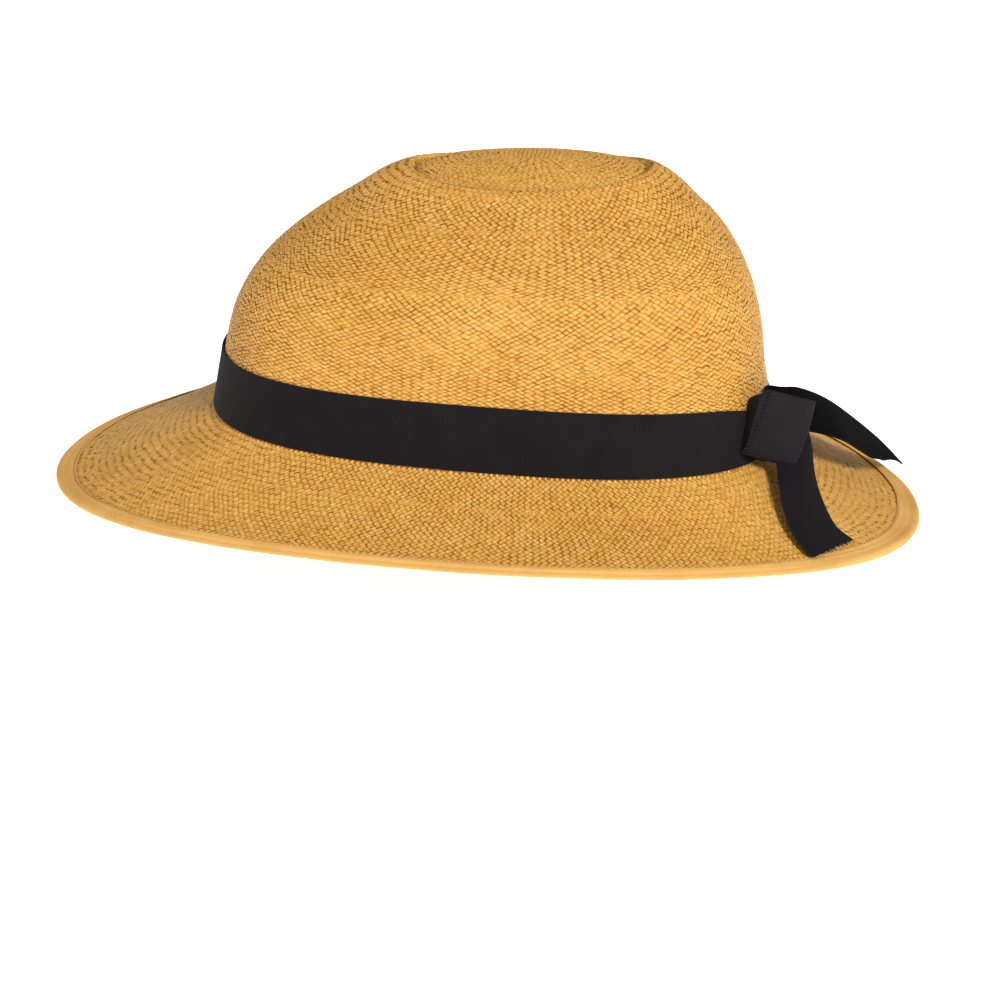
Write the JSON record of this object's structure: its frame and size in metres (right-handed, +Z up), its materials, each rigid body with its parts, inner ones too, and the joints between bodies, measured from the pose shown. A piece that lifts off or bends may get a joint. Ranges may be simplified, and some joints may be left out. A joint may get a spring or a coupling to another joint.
{
  "type": "straw helmet hat",
  "caption": "Woven straw hat with a helmet-size round crown, a sloping brim with a bound edge, a twill tape band and a flat bow at its back.",
  "frame": {"origin": "on the surface that the hat rests on, under the middle of the brim's outline", "axes": "+X to the wearer's left, +Y to the wearer's back, +Z up out of the crown's tip"},
  "size_m": [0.3412, 0.4219, 0.1698],
  "materials": {
    "straw": "golden-tan straw in a plain weave, lightly glossy strands",
    "binding_tape": "tan woven tape, matt",
    "band_tape": "black herringbone twill tape, matt"
  },
  "bodies": {
    "root": {"straw_body": "straw", "edge_binding": "binding_tape", "hat_band": "band_tape", "bow_knot": "band_tape", "bow_tail_front": "band_tape", "bow_tail_back": "band_tape"}
  },
  "joints": []
}
